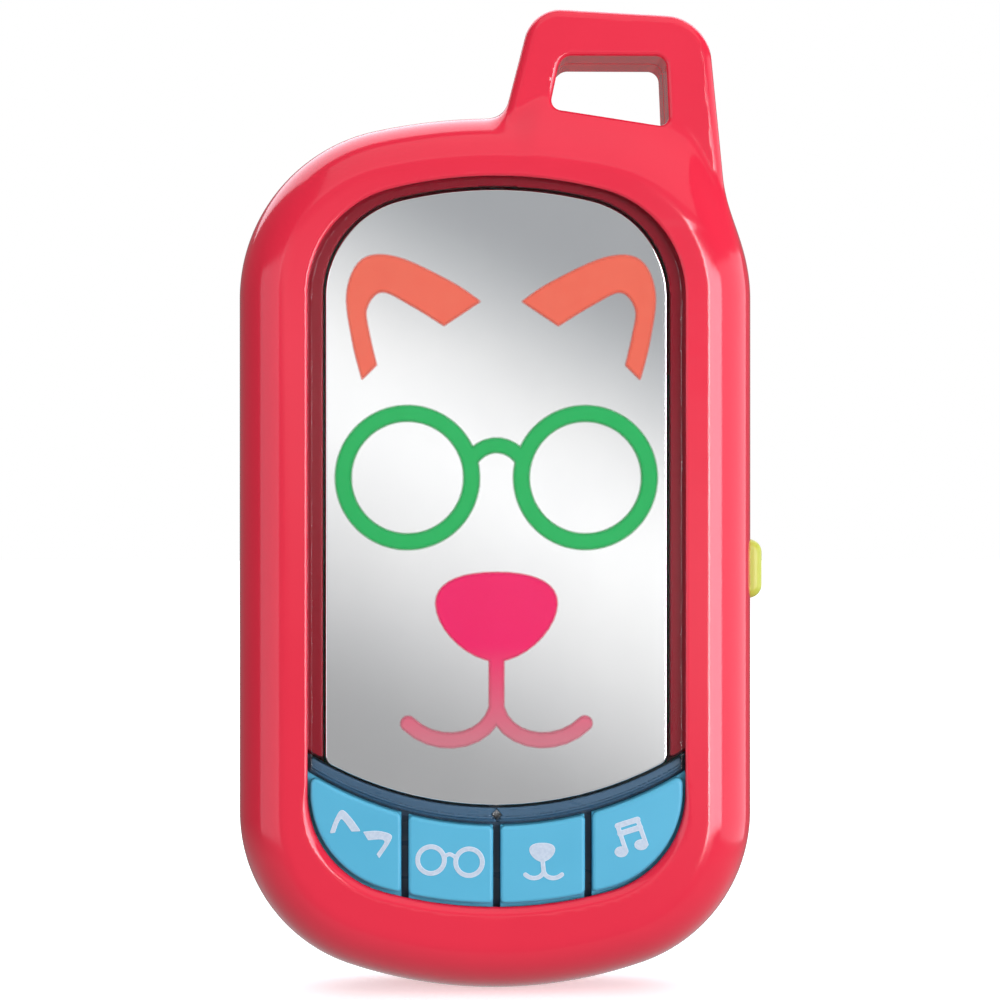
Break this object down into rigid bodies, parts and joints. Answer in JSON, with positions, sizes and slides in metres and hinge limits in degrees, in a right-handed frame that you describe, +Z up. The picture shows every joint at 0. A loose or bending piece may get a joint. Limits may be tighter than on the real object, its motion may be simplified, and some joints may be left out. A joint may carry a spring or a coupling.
{
  "type": "toy cell phone",
  "caption": "Toy phone with a carrying loop, a mirror window over a light-up dog face, picture keys, a side slide switch, a loudspeaker and a rear battery bay.",
  "frame": {"origin": "bottom centre of the box that holds the whole phone, side knob included", "axes": "+Z up along the phone towards the carrying loop, -Y out of the window, +X towards the side switch"},
  "size_m": [0.0856, 0.026, 0.159],
  "materials": {
    "case_red": "satin moulded ABS",
    "lens_smoke": "polished smoke-tinted acrylic",
    "mirror_film": "flat one-way mirror",
    "ear_coral": "lit translucent film",
    "glasses_green": "lit translucent film",
    "nose_pink": "lit translucent film",
    "light_box_white": "matt",
    "led_clear": "clear epoxy",
    "key_blue": "satin",
    "strip_blue": "satin",
    "keypad_rubber": "matt silicone",
    "switch_yellow": "satin",
    "steel": "zinc plated",
    "board_green": "solder mask on fibreglass",
    "epoxy_black": "epoxy",
    "capacitor_sleeve": "shrink sleeve",
    "cone_paper": "coated paper",
    "magnet_ferrite": "dark",
    "wire_red": "PVC",
    "wire_black": "PVC",
    "cell_wrap": "printed wrap"
  },
  "bodies": {
    "case": {"front_housing": "case_red", "rear_housing": "case_red", "window_lens": "lens_smoke", "mirror_panel": "mirror_film", "left_ear_filter": "ear_coral", "right_ear_filter": "ear_coral", "glasses_filter": "glasses_green", "nose_filter": "nose_pink", "light_box": "light_box_white", "left_ear_led": "led_clear", "right_ear_led": "led_clear", "left_eye_led": "led_clear", "right_eye_led": "led_clear", "nose_led": "led_clear", "main_board": "board_green", "key_frame": "strip_blue", "rubber_keypad": "keypad_rubber", "switch_body": "steel", "sound_chip": "epoxy_black", "capacitor": "capacitor_sleeve", "microphone": "steel", "speaker_frame": "steel", "speaker_cone": "cone_paper", "speaker_magnet": "magnet_ferrite", "left_speaker_wire": "wire_red", "right_speaker_wire": "wire_black", "battery_cell_1": "cell_wrap", "battery_spring_1": "steel", "battery_cell_2": "cell_wrap", "battery_spring_2": "steel", "battery_cell_3": "cell_wrap", "battery_spring_3": "steel", "lower_bridge_contact": "steel", "lower_end_contact": "steel", "upper_end_contact": "steel", "upper_bridge_contact": "steel", "case_screw_1": "steel", "board_screw_1": "steel", "case_screw_2": "steel", "board_screw_2": "steel", "case_screw_3": "steel", "board_screw_3": "steel", "case_screw_4": "steel", "board_screw_4": "steel"},
    "ears_key": {"ears_key": "key_blue"},
    "glasses_key": {"glasses_key": "key_blue"},
    "nose_key": {"nose_key": "key_blue"},
    "music_key": {"music_key": "key_blue"},
    "switch_knob": {"switch_knob": "switch_yellow"},
    "battery_door": {"battery_door": "case_red", "battery_door_screw": "steel"}
  },
  "joints": [
    {"name": "ears_key_press", "type": "slide", "parent": "case", "child": "ears_key", "axis": [0, 1, 0], "range_m": [0, 0.0012], "stiffness_N_per_m": 1000, "springref_m": -0.0003, "deforming": ["rubber_keypad"]},
    {"name": "glasses_key_press", "type": "slide", "parent": "case", "child": "glasses_key", "axis": [0, 1, 0], "range_m": [0, 0.0012], "stiffness_N_per_m": 1000, "springref_m": -0.0003, "deforming": ["rubber_keypad"]},
    {"name": "nose_key_press", "type": "slide", "parent": "case", "child": "nose_key", "axis": [0, 1, 0], "range_m": [0, 0.0012], "stiffness_N_per_m": 1000, "springref_m": -0.0003, "deforming": ["rubber_keypad"]},
    {"name": "music_key_press", "type": "slide", "parent": "case", "child": "music_key", "axis": [0, 1, 0], "range_m": [0, 0.0012], "stiffness_N_per_m": 1000, "springref_m": -0.0003, "deforming": ["rubber_keypad"]},
    {"name": "volume_slide", "type": "slide", "parent": "case", "child": "switch_knob", "axis": [0, 0, 1], "range_m": [0, 0.002]},
    {"name": "battery_door_lift", "type": "slide", "parent": "case", "child": "battery_door", "axis": [0, 1, 0], "range_m": [0, 0.02]}
  ]
}
